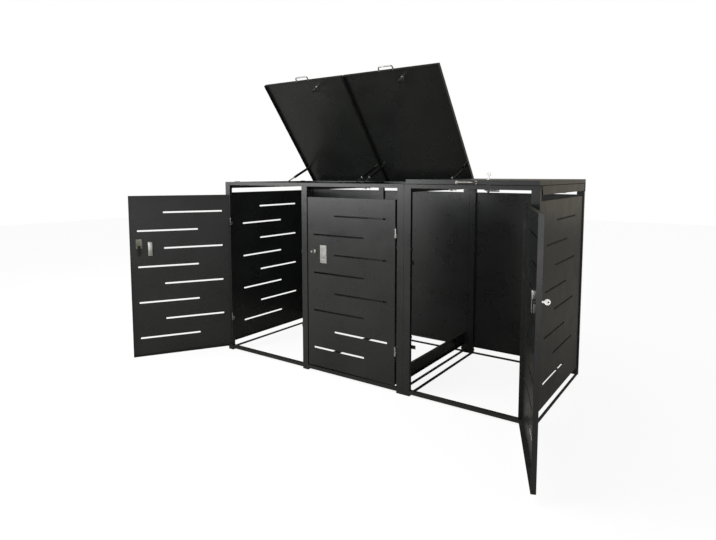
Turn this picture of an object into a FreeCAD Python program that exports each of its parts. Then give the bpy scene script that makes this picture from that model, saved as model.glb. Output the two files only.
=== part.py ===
"""Three-bay wheelie bin store in folded steel sheet: a two-bay unit with a one-bay extension
bolted to its right side. Millimetres, origin at the bottom centre, +X right, +Y to the back,
+Z up, and the doors at the front. It stands as photographed: doors 1 and 3 and lids 1 and 2
are open, door 2 and lid 3 are closed."""

import FreeCAD, Part
import os
import re
from math import pi
from FreeCAD import Placement, Rotation, Vector
from Sketcher import Constraint

doc = FreeCAD.newDocument("wheelie_bin_store")
sheet = doc.addObject("Spreadsheet::Sheet", "sizes")

SIZES = (
    ("bay_clear", 623, "clear width of one bay between its posts"),
    ("store_d", 850, "depth over the posts"),
    ("frame_h", 1125, "height of the frame, without the lids"),
    ("unit_gap", 1, "gap between the two-bay unit and the extension"),
    ("post_w", 40, "post tube, side to side"),
    ("post_d", 20, "post tube, front to back"),
    ("tube_wall", 1.5, "wall of every tube"),
    ("plug_t", 3, "flange of a plastic tube plug"),
    ("plug_grip", 12, "how far a plug goes into its tube"),
    ("plug_play", 0.1, "gap between a plug and its tube on each side"),
    ("front_rail_d", 40, "front top rail, front to back"),
    ("front_rail_t", 20, "front top rail, height"),
    ("back_rail_t", 45, "back top rail, height"),
    ("side_rail_w", 20, "side top rail, width"),
    ("side_rail_t", 41, "side top rail, height"),
    ("sill_t", 20, "front bottom rail, height"),
    ("sill_lift", 11, "front bottom rail above the ground"),
    ("floor_bar", 10, "square floor bar"),
    ("middle_bar", 20, "floor bar behind the middle post"),
    ("floor_bar_in", 5, "last floor bar of the two-bay unit from its post's flank"),
    ("floor_bar_lift", 2, "floor bars above the ground"),
    ("steel", 1.5, "thickness of the folded sheet"),
    ("panel_inset", 5, "panel face behind the outer face of the posts"),
    ("panel_fold", 12, "folded edge of the side and back panels"),
    ("side_panel_low", 50, "side panel, lower edge"),
    ("side_panel_gap", 29, "gap from the side rail down to the side panel"),
    ("back_panel_low", 45, "back panel, lower edge"),
    ("back_panel_gap", 18, "gap from the back rail down to the back panel"),
    ("slot_t", 10, "height of an air slot"),
    ("slot_pitch", 112.3, "slot to slot, down the sheet"),
    ("slot_rows", 4, "pairs of slots in a sheet"),
    ("door_slot", 360, "length of a door slot"),
    ("door_slot_hinge", 47.5, "first door slot from the hinge edge"),
    ("door_slot_free", 43, "second door slot from the free edge"),
    ("door_slot_drop", 110, "lower edge of the first door slot below the door's top"),
    ("side_slot", 371, "length of a side panel slot"),
    ("side_slot_first", -127, "front end of the first side slot"),
    ("side_slot_second", -286, "front end of the second side slot"),
    ("side_slot_drop", 106, "lower edge of the first side slot below the panel's top"),
    ("tie_plate_t", 2, "low tie plate, thickness"),
    ("tie_plate_x", 9, "low tie plate from the bay 2 face of its post"),
    ("tie_plate_low", 56, "low tie plate, lower edge"),
    ("tie_plate_high", 135, "low tie plate, upper edge"),
    ("tie_plate_fold", 14, "folded edges of the low tie plate"),
    ("bolt_r", 4, "joining bolt, radius"),
    ("bolt_play", 0.3, "gap round a joining bolt"),
    ("bolt_head_r", 7.5, "joining bolt head over its corners, radius"),
    ("bolt_head_t", 5.3, "joining bolt head, thickness"),
    ("front_bolt_low", 320, "lower front joining bolt above the ground"),
    ("front_bolt_high", 790, "upper front joining bolt above the ground"),
    ("back_bolt_low", 25, "lower back joining bolt above the ground"),
    ("back_bolt_drop", 9, "upper back joining bolt below the back rail"),
    ("door_t", 20, "door thickness over its folded edges"),
    ("door_low", 40, "door, lower edge"),
    ("door_top_gap", 62, "gap from the front top rail down to the doors"),
    ("door_hinge_gap", 12, "gap from the hinge post to the door"),
    ("door_lock_gap", 8, "gap from the free edge to the other post"),
    ("door_1_open", 121.6, "door 1 stands open, degrees"),
    ("door_2_open", 0, "door 2 stands closed, degrees"),
    ("door_3_open", 113, "door 3 stands open, degrees"),
    ("barrel_r", 5, "hinge barrel, radius"),
    ("hinge_pin_r", 3, "hinge pin, radius"),
    ("hinge_play", 0.05, "gap round a hinge pin"),
    ("pin_cap", 2, "metal above the pin in a door's knuckle"),
    ("pin_end_gap", 2.3, "gap between a door's hinge pin and the metal above it"),
    ("leaf_t", 2, "hinge leaf, thickness"),
    ("leaf_reach", 18, "door hinge leaf behind the front face"),
    ("knuckle", 24.6, "door hinge knuckle, length"),
    ("knuckle_gap", 0.3, "gap between hinge knuckles"),
    ("door_hinge_low", 205, "lower door hinges above the ground"),
    ("door_hinge_drop", 201, "upper door hinges below the door's top"),
    ("door_lock_in", 52, "door lock from the free edge"),
    ("door_lock_drop", 316, "door lock below the door's top"),
    ("plug_r", 6, "lock plug, radius"),
    ("lock_barrel_r", 9, "lock barrel, radius"),
    ("lock_ring_r", 12, "lock ring on the face, radius"),
    ("lock_ring_t", 2, "lock ring on the face, thickness"),
    ("lock_case_w", 36, "door lock case, width"),
    ("lock_case_h", 60, "door lock case, height"),
    ("lock_case_t", 10, "door lock case, depth"),
    ("lock_case_below", 10, "door lock case below the lock's axis"),
    ("cam_long", 54, "lock cam from axis to tip"),
    ("cam_w", 16, "lock cam, width"),
    ("cam_t", 2.5, "lock cam, thickness"),
    ("cam_gap", 1, "gap between a cam and what it catches"),
    ("key_stem", 14, "key stem outside the lock"),
    ("key_stem_w", 7, "key stem, width"),
    ("key_t", 2.4, "key, thickness"),
    ("key_bow_r", 11, "key bow, radius"),
    ("key_hole_r", 3, "hole in the key bow, radius"),
    ("key_hole_out", 3.5, "hole in the key bow from the bow's middle"),
    ("key_bite", 2.5, "how far a key's stem goes into its bow"),
    ("keeper_t", 2, "keeper, sheet thickness"),
    ("keeper_long", 23, "keeper tab from the post's flank"),
    ("keeper_h", 20, "keeper tab, height"),
    ("keeper_foot", 20, "keeper foot on the post's flank"),
    ("keeper_drop", 23, "upper keeper tab's lower edge below the lock's axis"),
    ("stop_z", 254, "lower door stop tab above the ground"),
    ("keeper_gap", 1.5, "gap between a closed door and its keepers"),
    ("pull_in", 116, "pull centre from the free edge"),
    ("pull_drop", 13, "pull centre below the lock's axis"),
    ("pull_w", 47, "pull plate, width"),
    ("pull_h", 104, "pull plate, height"),
    ("pull_t", 1.5, "pull plate, thickness"),
    ("cup_w", 25, "pull recess, width"),
    ("cup_h", 65, "pull recess, height"),
    ("cup_d", 15, "pull recess, depth"),
    ("cup_wall", 1.2, "pull recess, wall"),
    ("lid_t", 22, "lid thickness over its folded edges"),
    ("lid_lift", 3, "folded edges of a closed lid above the frame"),
    ("lid_overhang", 1, "lid past the outer faces of the posts"),
    ("lid_front", 12, "lid past the front face"),
    ("lid_gap", 9, "gap between the two lids of the two-bay unit"),
    ("lid_unit_gap", 17, "gap between lid 2 and the extension's lid"),
    ("lid_flange", 69, "rear flange of a lid, below its top"),
    ("lid_flange_gap", 3, "gap from the back rail to the lid's rear flange"),
    ("lid_travel", 52, "how far a lid lifts, degrees"),
    ("lid_1_open", 52, "lid 1 stands open, degrees"),
    ("lid_2_open", 52, "lid 2 stands open, degrees"),
    ("lid_3_open", 0, "lid 3 stands closed, degrees"),
    ("lid_pin_back", 7.3, "lid hinge pin behind the back face"),
    ("lid_pin_drop", 53, "lid hinge pin below the frame's top"),
    ("lid_knuckle", 20, "lid hinge knuckle, length"),
    ("lid_leaf_h", 34, "lid hinge leaf above its barrel"),
    ("lid_leaf_gap", 1.5, "lid hinge leaf clear of its barrel"),
    ("lid_hinge_in", 110, "lid hinge from the lid's side edge"),
    ("handle_w", 108, "handle, width over its ends"),
    ("handle_out", 30, "handle in front of the lid's lip"),
    ("handle_up", 10, "handle above the lid's lower edge"),
    ("handle_r", 4, "handle bar, radius"),
    ("handle_bend", 12, "handle bend, radius"),
    ("handle_foot_r", 8, "handle foot washer, radius"),
    ("handle_foot_t", 2, "handle foot washer, thickness"),
    ("lid_lock_x", 87, "lid lock right of the bay's middle"),
    ("lid_lock_back", 12, "lid lock behind the front rail"),
    ("lid_lock_drop", 28.5, "closed lid's lock barrel, lower end below the frame's top"),
    ("lid_nut_r", 13, "lid lock nut over its corners, radius"),
    ("lid_nut_t", 6, "lid lock nut, thickness"),
    ("lid_cam_long", 48, "lid lock cam from axis to tip"),
    ("lug_w", 18, "lid lock lug, width"),
    ("lug_d", 12, "lid lock lug, depth"),
    ("lug_h", 6, "lid lock lug, height"),
    ("lug_in", 3, "lid lock lug from the back of the front rail"),
    ("buffer_long", 30, "rubber lid buffer, length"),
    ("buffer_gap", 0.3, "gap between a closed lid and its buffers"),
    ("buffer_y", 330, "rubber lid buffers from the middle of the depth"),
    ("strut_in", 12, "gas strut from the side rail's inner face"),
    ("strut_rail_in", 360.3, "gas strut's rail pivot in front of the lid's pin"),
    ("strut_rail_drop", 33, "gas strut's rail pivot below the frame's top"),
    ("strut_lid_in", 153.3, "gas strut's lid pivot in front of the lid's pin, lid closed"),
    ("strut_lid_drop", 18, "gas strut's lid pivot below the closed lid's top"),
    ("strut_r", 9, "gas strut cylinder, radius"),
    ("strut_wall", 1.5, "gas strut cylinder, wall"),
    ("strut_end_gap", 15.3, "gap from a rod's end to its cylinder's closed end, lid closed"),
    ("strut_stop_gap", 7.8, "gap from a piston to its gland, lid open"),
    ("strut_neck", 14, "from a strut's eye to its cylinder"),
    ("gland", 12, "gland at the cylinder's mouth, length"),
    ("rod_r", 4, "gas strut rod, radius"),
    ("piston", 8, "piston, length"),
    ("running_play", 0.05, "running gap of the rod and the piston"),
    ("eye_r", 8, "strut eye, radius"),
    ("eye_t", 9, "strut eye, thickness"),
    ("eye_bite", 2, "how far a neck goes into its eye"),
    ("stud_r", 4, "strut stud, radius"),
    ("stud_gap", 0.4, "gap between a rail stud and the rod's eye"),
    ("bracket_t", 3, "strut bracket plate, thickness"),
    ("bracket_w", 20, "strut bracket plate, width"),
    ("bracket_gap", 0.3, "gap between a lid bracket and the strut's eye"),
)

# Places that follow from the sizes above, each written once in the same words.
PLACES = {
    "store_w": "3 * bay_clear + 5 * post_w + unit_gap",
    "left": "-store_w / 2",
    "right": "store_w / 2",
    "front": "-store_d / 2",
    "back": "store_d / 2",
    "bay_1_left": "left + post_w",
    "bay_1_right": "bay_1_left + bay_clear",
    "bay_2_left": "bay_1_right + post_w",
    "bay_2_right": "bay_2_left + bay_clear",
    "unit_end": "bay_2_right + post_w",
    "extension": "unit_end + unit_gap",
    "bay_3_left": "extension + post_w",
    "bay_3_right": "bay_3_left + bay_clear",
    "side_panel_high": "frame_h - side_rail_t - side_panel_gap",
    "back_panel_high": "frame_h - back_rail_t - back_panel_gap",
    "back_bolt_high": "frame_h - back_rail_t - back_bolt_drop",
    "door_high": "frame_h - front_rail_t - door_top_gap",
    "door_slot_z": "door_high - door_slot_drop",
    "door_hinge_high": "door_high - door_hinge_drop",
    "door_lock_z": "door_high - door_lock_drop",
    "keeper_z": "door_lock_z - keeper_drop",
    "pull_z": "door_lock_z - pull_drop",
    "side_slot_z": "side_panel_high - side_slot_drop",
    "door_w": "bay_clear - door_hinge_gap - door_lock_gap",
    "door_face": "barrel_r",
    "door_back": "door_face + door_t",
    "door_pin_y": "front - barrel_r",
    "keeper_back": "keeper_gap + keeper_t",
    "door_cam": "door_back + keeper_back + cam_gap",
    "lid_top": "frame_h + lid_lift + lid_t",
    "lid_pin_y": "back + lid_pin_back",
    "lid_pin_z": "frame_h - lid_pin_drop",
    "lid_back": "back + lid_flange_gap + steel",
    "lid_d": "lid_back - front + lid_front",
    "lid_1_left": "left - lid_overhang",
    "lid_1_w": "(unit_end - left + 2 * lid_overhang - lid_gap) / 2",
    "lid_2_left": "lid_1_left + lid_1_w + lid_gap",
    "lid_2_w": "lid_1_w",
    "lid_3_left": "lid_2_left + lid_2_w + lid_unit_gap",
    "lid_3_w": "right + lid_overhang - lid_3_left",
    "lid_face": "lid_top - lid_pin_z",
    "lid_edge": "lid_face - lid_t",
    "lid_rear": "lid_back - lid_pin_y",
    "lid_lip": "lid_rear - lid_d",
    "lid_lock_y": "front + front_rail_d + lid_lock_back - lid_pin_y",
    "lid_lock_end": "lid_pin_drop - lid_lock_drop",
    "strut_1_left": "left + side_rail_w + strut_in",
    "strut_1_right": "bay_1_right - strut_in",
    "strut_2_left": "bay_2_left + strut_in",
    "strut_2_right": "unit_end - side_rail_w - strut_in",
    "strut_3_left": "extension + side_rail_w + strut_in",
    "strut_3_right": "right - side_rail_w - strut_in",
    "strut_rail_z": "frame_h - strut_rail_drop",
    "strut_lid_z": "lid_top - strut_lid_drop",
    "strut_rail_y": "lid_pin_y - strut_rail_in",
    "arm_y": "-strut_lid_in",
    "arm_z": "strut_lid_z - lid_pin_z",
    "strut_closed": "hypot(strut_lid_z - strut_rail_z; strut_rail_in - strut_lid_in)",
    "open_y": "lid_pin_y + arm_y * cos(lid_travel * 1 deg) + arm_z * sin(lid_travel * 1 deg)",
    "open_z": "lid_pin_z - arm_y * sin(lid_travel * 1 deg) + arm_z * cos(lid_travel * 1 deg)",
    "strut_opened": "hypot(open_z - strut_rail_z; open_y - strut_rail_y)",
    "rod_long": "strut_closed - strut_neck - strut_wall - strut_end_gap",
    "gland_reach": "strut_opened - rod_long + piston + strut_stop_gap + gland",
    "strut_long": "gland_reach - strut_neck",
}
for lid in (1, 2, 3):
    turn = f"(lid_{lid}_open * 1 deg)"
    PLACES[f"strut_{lid}_y"] = f"lid_pin_y + arm_y * cos{turn} + arm_z * sin{turn}"
    PLACES[f"strut_{lid}_z"] = f"lid_pin_z - arm_y * sin{turn} + arm_z * cos{turn}"
    PLACES[f"strut_{lid}_turn"] = f"atan2(strut_{lid}_z - strut_rail_z; strut_{lid}_y - strut_rail_y)"

NAMES = {name for name, _, _ in SIZES}
BAYS = (1, 2, 3)
DOOR_SIDE = {1: 1, 2: -1, 3: -1}
TURNS = {
    "x": Rotation(Vector(0, 1, 0), 90),
    "y": Rotation(Vector(1, 0, 0), -90),
    "z": Rotation(),
}
PLANE_ROLE = {"flat": "XY_Plane", "upright": "XZ_Plane", "side": "YZ_Plane"}
nodes = []


def fill_sheet():
    """Writes every driving size, its alias and what it means."""
    for row, (name, value, meaning) in enumerate(SIZES, 1):
        sheet.set(f"A{row}", meaning)
        sheet.set(f"B{row}", str(value))
        sheet.setAlias(f"B{row}", name)
    doc.recompute()


def words(text):
    """Turns size and place names into an expression on the sheet."""
    def swap(match):
        word = match.group(0)
        if word in NAMES:
            return "sizes." + word
        if word in PLACES:
            return "(" + words(PLACES[word]) + ")"
        return word
    return re.sub(r"[a-z_][a-z_0-9]*", swap, text)


def bind(thing, prop, text):
    thing.setExpression(prop, words(text))


def place(thing, start):
    for letter, text in zip("xyz", start):
        bind(thing, "Placement.Base." + letter, text)


def turned(thing, start, axis, angle):
    """Places a piece and turns it about the X, Y or Z line through its own origin. The first
    angle, any but zero, only keeps the axis until the bound angle takes its place."""
    thing.Placement = Placement(Vector(), Rotation(axis, 10))
    place(thing, start)
    bind(thing, "Placement.Rotation.Angle", angle)


def box(name, start, size):
    shape = doc.addObject("Part::Box", name)
    for side, text in zip(("Length", "Width", "Height"), size):
        bind(shape, side, text)
    place(shape, start)
    return shape


def bar(name, axis, start, radius, length):
    """A round bar along the named axis."""
    shape = doc.addObject("Part::Cylinder", name)
    shape.Placement = Placement(Vector(), TURNS[axis])
    bind(shape, "Radius", radius)
    bind(shape, "Height", length)
    place(shape, start)
    return shape


def hexagon(name, axis, start, radius, length):
    """A six-sided head or nut along the named axis."""
    shape = doc.addObject("Part::Prism", name)
    shape.Polygon = 6
    shape.Placement = Placement(Vector(), TURNS[axis])
    bind(shape, "Circumradius", radius)
    bind(shape, "Height", length)
    place(shape, start)
    return shape


def fuse(name, shapes):
    shape = doc.addObject("Part::MultiFuse", name)
    shape.Shapes = shapes
    shape.Refine = True
    return shape


def cut(name, base, tools):
    shape = doc.addObject("Part::Cut", name)
    shape.Base = base
    shape.Tool = tools[0] if len(tools) == 1 else fuse(name + "_tools", tools)
    shape.Refine = True
    return shape


def node(label, shapes):
    """Names a sub-part: one piece, or a group of separate pieces."""
    shape = shapes[0]
    if len(shapes) > 1:
        shape = doc.addObject("Part::Compound", label)
        shape.Links = shapes
    shape.Label = label
    nodes.append(shape)
    return shape


def tube(name, start, size, along):
    """Rectangular tube, open at both ends, along axis 0, 1 or 2."""
    bore_start = [s if i == along else f"{s} + tube_wall" for i, s in enumerate(start)]
    bore_size = [s if i == along else f"{s} - 2 * tube_wall" for i, s in enumerate(size)]
    return cut(name, box(name + "_outside", start, size), [box(name + "_bore", bore_start, bore_size)])


def plug(name, start, size, along, way):
    """Plastic plug: a flange on the tube's end and a block inside it. way is the sign of the
    direction from the flange into the tube; start and size are the tube end's flange."""
    grip_start = [f"{s} + tube_wall + plug_play" for s in start]
    grip_size = [f"{s} - 2 * (tube_wall + plug_play)" for s in size]
    grip_start[along] = f"{start[along]} + plug_t" if way > 0 else f"{start[along]} - plug_grip"
    grip_size[along] = "plug_grip"
    return fuse(name, [box(name + "_flange", start, size), box(name + "_grip", grip_start, grip_size)])


def span(side, near, far):
    """Start and length along X of what lies from near to far from a hinge, to its right
    (side 1) or to its left (side -1)."""
    start = near if side > 0 else f"-({far})"
    return start, f"({far}) - ({near})"


def sketch_on(body, name, plane, offset):
    """An empty sketch on one of the body's own planes, moved by offset in the plane's axes."""
    sketch = body.newObject("Sketcher::SketchObject", name)
    role = PLANE_ROLE[plane]
    sketch.AttachmentSupport = [(f, "") for f in body.Origin.OriginFeatures if f.Role == role]
    sketch.MapMode = "FlatFace"
    for letter, text in zip("xyz", offset):
        bind(sketch, "AttachmentOffset.Base." + letter, text)
    return sketch


def now(text):
    """The number that an expression has with the sheet's present sizes."""
    return float(sheet.evalExpression(words(text)))


def distance(sketch, kind, refs, name, text):
    number = sketch.addConstraint(Constraint(kind, *refs, now(text)))
    sketch.renameConstraint(number, name)
    bind(sketch, "Constraints." + name, text)


def rectangle(body, name, plane, offset, width, height):
    sketch = sketch_on(body, name, plane, offset)
    wide, tall = now(width), now(height)
    corners = (Vector(0, 0, 0), Vector(wide, 0, 0), Vector(wide, tall, 0), Vector(0, tall, 0))
    for a, b in zip(corners, corners[1:] + corners[:1]):
        sketch.addGeometry(Part.LineSegment(a, b), False)
    for a in range(4):
        sketch.addConstraint(Constraint("Coincident", a, 2, (a + 1) % 4, 1))
        sketch.addConstraint(Constraint("Horizontal" if a % 2 == 0 else "Vertical", a))
    sketch.addConstraint(Constraint("Coincident", 0, 1, -1, 1))
    distance(sketch, "DistanceX", (0, 1, 0, 2), "width", width)
    distance(sketch, "DistanceY", (1, 1, 1, 2), "height", height)
    return sketch


def circle(body, name, plane, offset, radius):
    sketch = sketch_on(body, name, plane, offset)
    sketch.addGeometry(Part.Circle(Vector(0, 0, 0), Vector(0, 0, 1), now(radius)), False)
    sketch.addConstraint(Constraint("Coincident", 0, 3, -1, 1))
    distance(sketch, "Radius", (0,), "radius", radius)
    return sketch


def add_slot(sketch, label, x, y, length, height):
    """A slot with round ends whose lower left corner is at x, y in the sketch."""
    first = sketch.GeometryCount
    lower, right_end, upper, left_end = range(first, first + 4)
    radius = now(height) / 2
    near = Vector(now(x) + radius, now(y) + radius, 0)
    far = near + Vector(now(length) - 2 * radius, 0, 0)
    down, up = Vector(0, -radius, 0), Vector(0, radius, 0)
    ends = [Part.Circle(centre, Vector(0, 0, 1), radius) for centre in (far, near)]
    sketch.addGeometry(Part.LineSegment(near + down, far + down), False)
    sketch.addGeometry(Part.ArcOfCircle(ends[0], -pi / 2, pi / 2), False)
    sketch.addGeometry(Part.LineSegment(far + up, near + up), False)
    sketch.addGeometry(Part.ArcOfCircle(ends[1], pi / 2, 3 * pi / 2), False)
    for one, other in ((lower, right_end), (right_end, upper), (upper, left_end), (left_end, lower)):
        sketch.addConstraint(Constraint("Tangent", one, 2, other, 1))
    sketch.addConstraint(Constraint("Horizontal", lower))
    sketch.addConstraint(Constraint("Horizontal", upper))
    distance(sketch, "Radius", (right_end,), label + "_end", f"({height}) / 2")
    distance(sketch, "DistanceX", (left_end, 3, right_end, 3), label + "_run", f"({length}) - ({height})")
    distance(sketch, "DistanceX", (-1, 1, left_end, 3), label + "_x", f"({x}) + ({height}) / 2")
    distance(sketch, "DistanceY", (-1, 1, left_end, 3), label + "_y", f"({y}) + ({height}) / 2")


def pad(body, name, sketch, length, reverse):
    feature = body.newObject("PartDesign::Pad", name)
    feature.Profile = sketch
    bind(feature, "Length", length)
    feature.Reversed = reverse
    return feature


def pocket(body, name, sketch, depth, reverse):
    feature = body.newObject("PartDesign::Pocket", name)
    feature.Profile = sketch
    bind(feature, "Length", depth)
    feature.Reversed = reverse
    return feature


def pan(label, plane, offset, width, height, depth, reverse):
    """A folded sheet pan. Its face lies in the sketch plane and its four folded edges run from
    it by depth, along the plane's normal or, with reverse, against it."""
    body = doc.addObject("PartDesign::Body", label)
    face = rectangle(body, label + "_face", plane, offset, width, height)
    pad(body, label + "_block", face, depth, reverse)
    x, y, level = offset
    rim = f"({level}) - ({depth})" if reverse else f"({level}) + ({depth})"
    inside = (f"({x}) + steel", f"({y}) + steel", rim)
    hollow = rectangle(body, label + "_inside", plane, inside,
                       f"({width}) - 2 * steel", f"({height}) - 2 * steel")
    pocket(body, label + "_hollow", hollow, f"({depth}) - steel", reverse)
    return body


def slot_pairs(body, label, plane, offset, first_x, second_x, length, reverse):
    """Pairs of staggered air slots down a pan's face: first_x and second_x are the left ends of
    the upper and the lower slot of a pair, from the sketch's own origin."""
    sketch = sketch_on(body, label + "_slots", plane, offset)
    add_slot(sketch, "upper", first_x, "slot_pitch", length, "slot_t")
    add_slot(sketch, "lower", second_x, "0", length, "slot_t")
    opening = pocket(body, label + "_slot_cut", sketch, "2 * steel", not reverse)
    pattern = body.newObject("PartDesign::LinearPattern", label + "_slot_rows")
    pattern.Originals = [opening]
    pattern.Direction = (sketch, ["V_Axis"])
    pattern.Reversed = True
    bind(pattern, "Length", "2 * slot_pitch * (slot_rows - 1)")
    bind(pattern, "Occurrences", "slot_rows")
    body.Tip = pattern


# Frame

POST_X = ("left", "bay_1_right", "bay_2_right", "extension", "bay_3_right")
RAILS_X = (("left", "unit_end"), ("extension", "right"))
SIDE_RAILS = (
    ("left", "side_rail_w"),
    ("bay_1_right", "post_w"),
    ("unit_end - side_rail_w", "side_rail_w"),
    ("extension", "side_rail_w"),
    ("right - side_rail_w", "side_rail_w"),
)


def joining_holes(name, x, y, face):
    """The two holes for the joining bolts in one post."""
    return [
        bar(f"{name}_hole_{z}", "x", (f"{x} - tube_wall", f"{y} + post_d / 2", z), "bolt_r + bolt_play",
            "post_w + 2 * tube_wall")
        for z in (f"{face}_bolt_low", f"{face}_bolt_high")
    ]


def posts(face, y, top):
    """Five posts of one face. The two that stand side by side are drilled for the bolts."""
    label = face + "_posts"
    pieces = []
    for number, x in enumerate(POST_X, 1):
        name = f"{label}_{number}"
        height = f"frame_h - {top} - plug_t"
        piece = tube(name, (x, y, "plug_t"), ("post_w", "post_d", height), 2)
        if x in ("bay_2_right", "extension"):
            piece = cut(name + "_drilled", piece, joining_holes(name, x, y, face))
        pieces.append(piece)
    node(label, pieces)


def top_rails():
    front_rails, back_rails, side_rails = [], [], []
    for number, (a, b) in enumerate(RAILS_X, 1):
        run = f"{b} - ({a}) - 2 * plug_t"
        front_start = (f"{a} + plug_t", "front", "frame_h - front_rail_t")
        front_size = (run, "front_rail_d", "front_rail_t")
        front_rails.append(tube(f"front_rail_{number}", front_start, front_size, 0))
        back_start = (f"{a} + plug_t", "back - post_d", "frame_h - back_rail_t")
        back_rails.append(tube(f"back_rail_{number}", back_start, (run, "post_d", "back_rail_t"), 0))
    for number, (x, width) in enumerate(SIDE_RAILS, 1):
        start = (x, "front + front_rail_d", "frame_h - side_rail_t")
        size = (width, "store_d - front_rail_d - post_d", "side_rail_t")
        side_rails.append(tube(f"side_rail_{number}", start, size, 1))
    node("front_top_rails", front_rails)
    node("back_top_rails", back_rails)
    node("side_top_rails", side_rails)


def sills_and_floor_bars():
    sills, bars = [], []
    for bay in BAYS:
        start = (f"bay_{bay}_left", "front", "sill_lift")
        sills.append(tube(f"sill_{bay}", start, ("bay_clear", "post_d", "sill_t"), 0))
        back_start = (f"bay_{bay}_left", "back - post_d", "floor_bar_lift")
        bars.append(box(f"back_floor_bar_{bay}", back_start, ("bay_clear", "floor_bar", "floor_bar")))
    run = "store_d - 2 * post_d"
    places = (
        ("left", "floor_bar"),
        ("bay_1_right", "middle_bar"),
        ("bay_2_right + floor_bar_in", "floor_bar"),
        ("bay_3_left - floor_bar", "floor_bar"),
        ("right - floor_bar", "floor_bar"),
    )
    for number, (x, size) in enumerate(places, 1):
        start = (x, "front + post_d", "floor_bar_lift")
        bars.append(box(f"side_floor_bar_{number}", start, (size, run, size)))
    node("front_sills", sills)
    node("floor_bars", bars)


def tube_plugs():
    """Foot plugs in the posts, and plugs in the open ends of the front and back top rails."""
    pieces = []
    for number, x in enumerate(POST_X, 1):
        for face, y in (("front", "front"), ("back", "back - post_d")):
            size = ("post_w", "post_d", "plug_t")
            pieces.append(plug(f"{face}_foot_{number}", (x, y, "0"), size, 2, 1))
    rails = (
        ("front", "front", "frame_h - front_rail_t", "front_rail_d", "front_rail_t"),
        ("back", "back - post_d", "frame_h - back_rail_t", "post_d", "back_rail_t"),
    )
    for face, y, z, deep, tall in rails:
        size = ("plug_t", deep, tall)
        for number, (a, b) in enumerate(RAILS_X, 1):
            pieces.append(plug(f"{face}_end_{number}_left", (a, y, z), size, 0, 1))
            pieces.append(plug(f"{face}_end_{number}_right", (f"{b} - plug_t", y, z), size, 0, -1))
    node("tube_plugs", pieces)


def side_panels():
    """Slotted side panels: pans with their folded edges turned inwards, between the posts."""
    for label, x, reverse in (("left_side_panel", "left + panel_inset", False),
                              ("right_side_panel", "right - panel_inset", True)):
        corner = ("front + post_d", "side_panel_low", x)
        body = pan(label, "side", corner, "store_d - 2 * post_d", "side_panel_high - side_panel_low",
                   "panel_fold", reverse)
        origin = ("side_slot_second", "side_slot_z - slot_pitch", x)
        first = "side_slot_first - side_slot_second"
        slot_pairs(body, label, "side", origin, first, "0", "side_slot", reverse)
        node(label, [body])


def back_panels():
    pieces = []
    for bay in BAYS:
        start = (f"bay_{bay}_left", "back - panel_inset - panel_fold", "back_panel_low")
        tall = "back_panel_high - back_panel_low"
        block = box(f"back_panel_{bay}_block", start, ("bay_clear", "panel_fold", tall))
        inside = (f"{start[0]} + steel", start[1], f"{start[2]} + steel")
        size = ("bay_clear - 2 * steel", "panel_fold - steel", f"{tall} - 2 * steel")
        pieces.append(cut(f"back_panel_{bay}", block, [box(f"back_panel_{bay}_inside", inside, size)]))
    node("back_panels", pieces)


def tie_plate():
    """Low channel that ties the front and back posts at the end of the two-bay unit."""
    x = "bay_2_right + tie_plate_x"
    run = "store_d - 2 * post_d"
    web = box("tie_web", (x, "front + post_d", "tie_plate_low"),
              ("tie_plate_t", run, "tie_plate_high - tie_plate_low"))
    size = ("tie_plate_fold", run, "tie_plate_t")
    low = box("tie_low_fold", (x, "front + post_d", "tie_plate_low"), size)
    high = box("tie_high_fold", (x, "front + post_d", "tie_plate_high - tie_plate_t"), size)
    node("low_tie_plate", [fuse("tie_plate", [web, low, high])])


def joining_bolts():
    """Bolts through the two posts that stand side by side, with head and nut."""
    pieces = []
    for face, y in (("front", "front + post_d / 2"), ("back", "back - post_d / 2")):
        for level in (f"{face}_bolt_low", f"{face}_bolt_high"):
            name = level + "_bolt"
            shank = bar(name + "_shank", "x", ("bay_2_right", y, level), "bolt_r", "2 * post_w + unit_gap")
            head_start = ("bay_2_right - bolt_head_t", y, level)
            head = hexagon(name + "_head", "x", head_start, "bolt_head_r", "bolt_head_t")
            nut = hexagon(name + "_nut", "x", ("bay_3_left", y, level), "bolt_head_r", "bolt_head_t")
            pieces.append(fuse(name, [shank, head, nut]))
    node("joining_bolts", pieces)


# Doors. Each is drawn closed, from its hinge pin: x runs along the door, y to the back.

DOOR_PIN_X = {
    1: "bay_1_left + door_hinge_gap / 2",
    2: "bay_2_right - door_hinge_gap / 2",
    3: "bay_3_right - door_hinge_gap / 2",
}
DOOR_EDGE = "door_hinge_gap / 2"


def hang_door(door, piece):
    """Swings a door's piece about its pin to where the door stands."""
    start = (DOOR_PIN_X[door], "door_pin_y", "0")
    turned(piece, start, Vector(0, 0, 1), f"{-DOOR_SIDE[door]} * door_{door}_open * 1 deg")


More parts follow.
